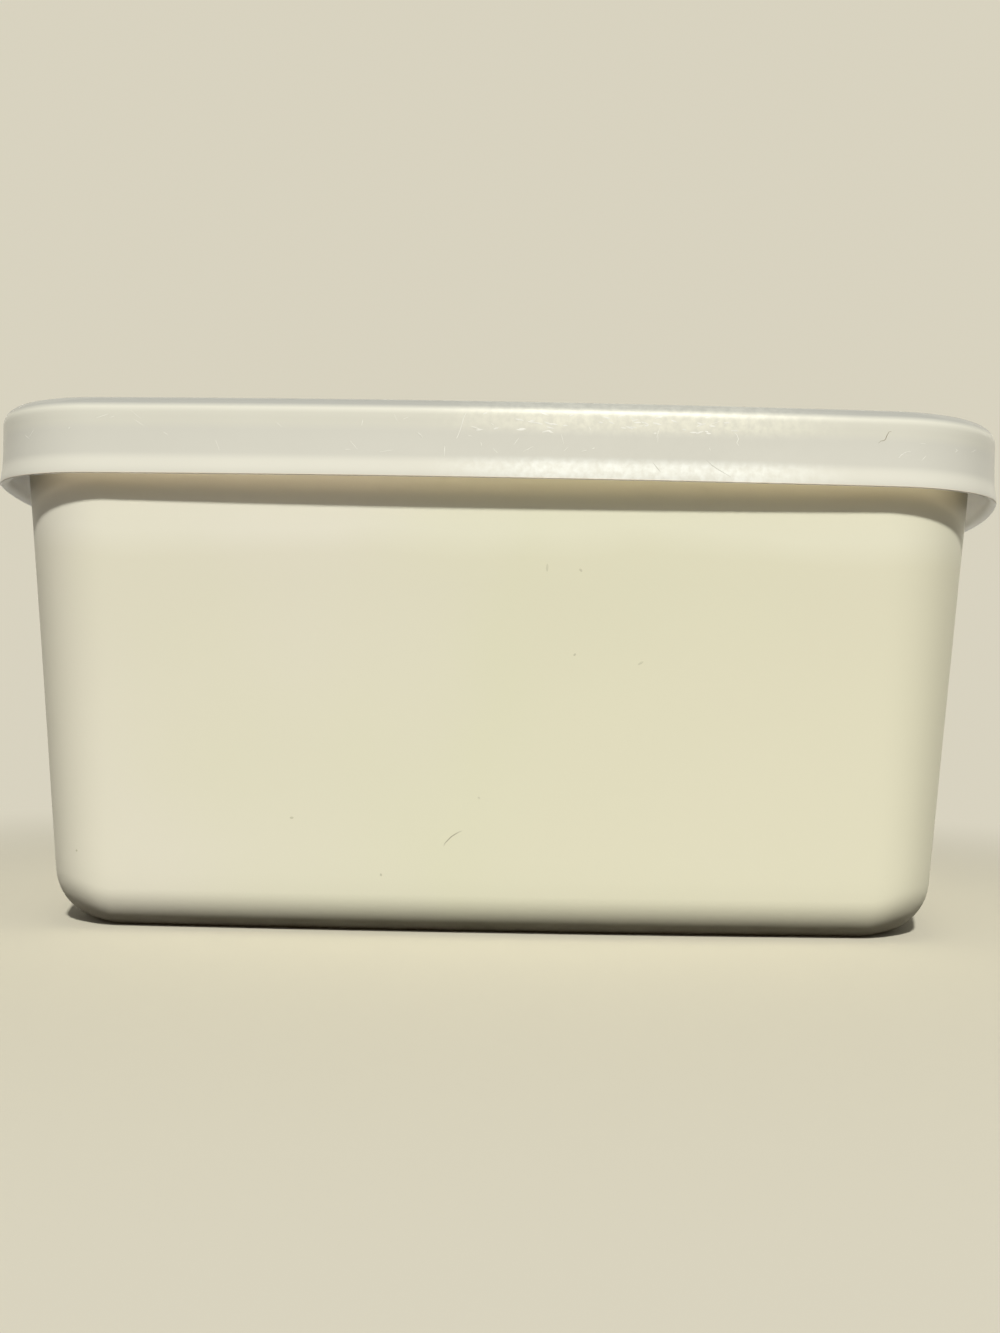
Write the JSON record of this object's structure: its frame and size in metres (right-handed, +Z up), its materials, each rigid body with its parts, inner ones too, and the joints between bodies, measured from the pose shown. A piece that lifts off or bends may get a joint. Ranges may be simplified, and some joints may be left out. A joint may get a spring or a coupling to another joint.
{
  "type": "food storage container",
  "caption": "Shut rounded-rectangular plastic food tub with bowed, tapering walls and a milky push-on lid whose deep skirt overhangs them.",
  "frame": {"origin": "middle of the footprint, on the surface that the tub stands on", "axes": "+X along the long side, +Y to the back, +Z up"},
  "size_m": [0.1852, 0.118, 0.089],
  "materials": {
    "tub": "fine satin, cream, slightly scuffed",
    "lid": "milky translucent, satin, scuffed"
  },
  "bodies": {
    "root": {"tub": "tub", "lid": "lid"}
  },
  "joints": []
}
